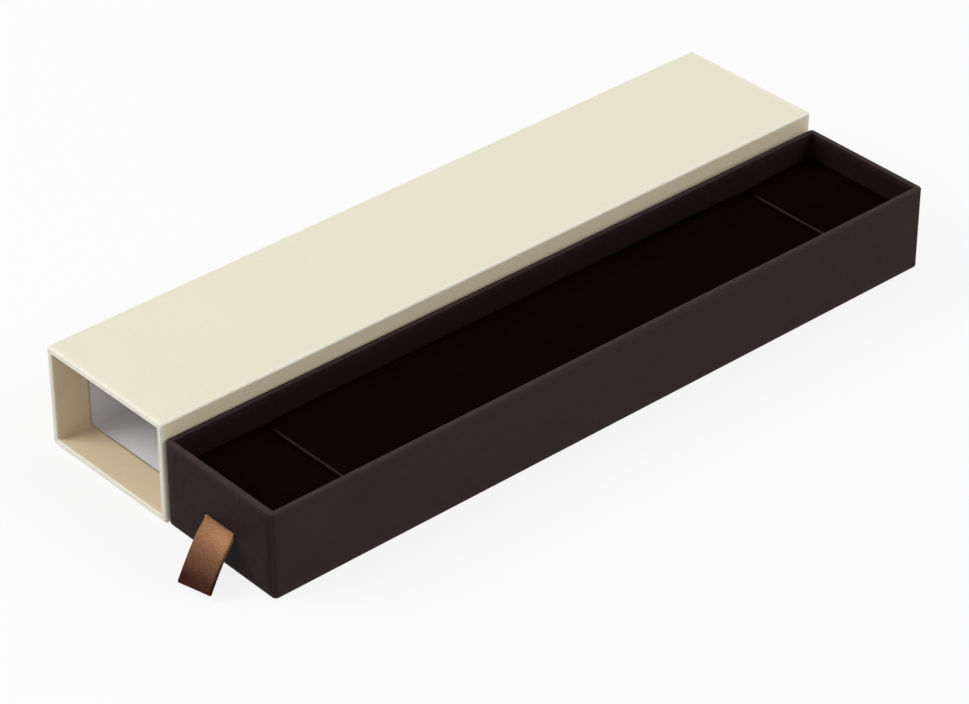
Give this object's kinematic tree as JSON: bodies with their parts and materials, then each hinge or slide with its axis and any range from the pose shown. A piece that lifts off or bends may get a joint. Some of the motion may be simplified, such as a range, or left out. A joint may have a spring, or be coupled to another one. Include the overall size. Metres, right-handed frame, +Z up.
{
  "type": "sliding drawer gift box",
  "caption": "Long rigid paperboard gift box: a wrapped sleeve open at both ends, and beside it the tray with a ribbon pull and a slit velvet pad.",
  "frame": {"origin": "middle of the sleeve's underside", "axes": "+Z up, +Y along the length from the ribbon end to the rear, +X from the sleeve to the tray"},
  "size_m": [0.0906, 0.2419, 0.0301],
  "materials": {
    "cream_wrap": "fine-grained matt coated paper",
    "white_liner": "smooth white lining paper",
    "greyboard": "unbleached grey board",
    "gummed_tape": "kraft tape",
    "brown_wrap": "fine-grained matt paper",
    "brown_lining": "matt lining paper",
    "ribbon_satin": "woven satin ribbon",
    "dark_velvet": "short pile velvet",
    "pad_foam": "open-cell foam",
    "pad_card": "pad backing card"
  },
  "bodies": {
    "sleeve": {"sleeve_board_top": "greyboard", "sleeve_board_bottom": "greyboard", "sleeve_board_left": "greyboard", "sleeve_board_right": "greyboard", "sleeve_seam_tape": "gummed_tape", "sleeve_wrap": "cream_wrap", "sleeve_liner": "white_liner"},
    "tray": {"tray_board_base": "greyboard", "tray_board_front": "greyboard", "tray_board_rear": "greyboard", "tray_board_left": "greyboard", "tray_board_right": "greyboard", "tray_stay_front_left": "gummed_tape", "tray_stay_front_right": "gummed_tape", "tray_stay_rear_left": "gummed_tape", "tray_stay_rear_right": "gummed_tape", "tray_wrap": "brown_wrap", "tray_lining": "brown_lining", "ribbon_tail": "ribbon_satin", "ribbon_patch": "gummed_tape"},
    "ribbon": {"ribbon_pull": "ribbon_satin"},
    "insert": {"insert_board": "pad_card", "insert_foam": "pad_foam", "insert_velvet": "dark_velvet"}
  },
  "joints": [
    {"name": "tray_slide", "type": "slide", "parent": "sleeve", "child": "tray", "axis": [-0.0042, -1, 0], "range_m": [0, 0.23]},
    {"name": "insert_lift", "type": "slide", "parent": "tray", "child": "insert", "axis": [0, 0, 1], "range_m": [0, 0.03]},
    {"name": "ribbon_swing", "type": "hinge", "parent": "tray", "child": "ribbon", "pos_m": [0.04495, -0.11399, 0.0114], "axis": [-1, 0.0042, 0], "range_deg": [0, 55]}
  ]
}
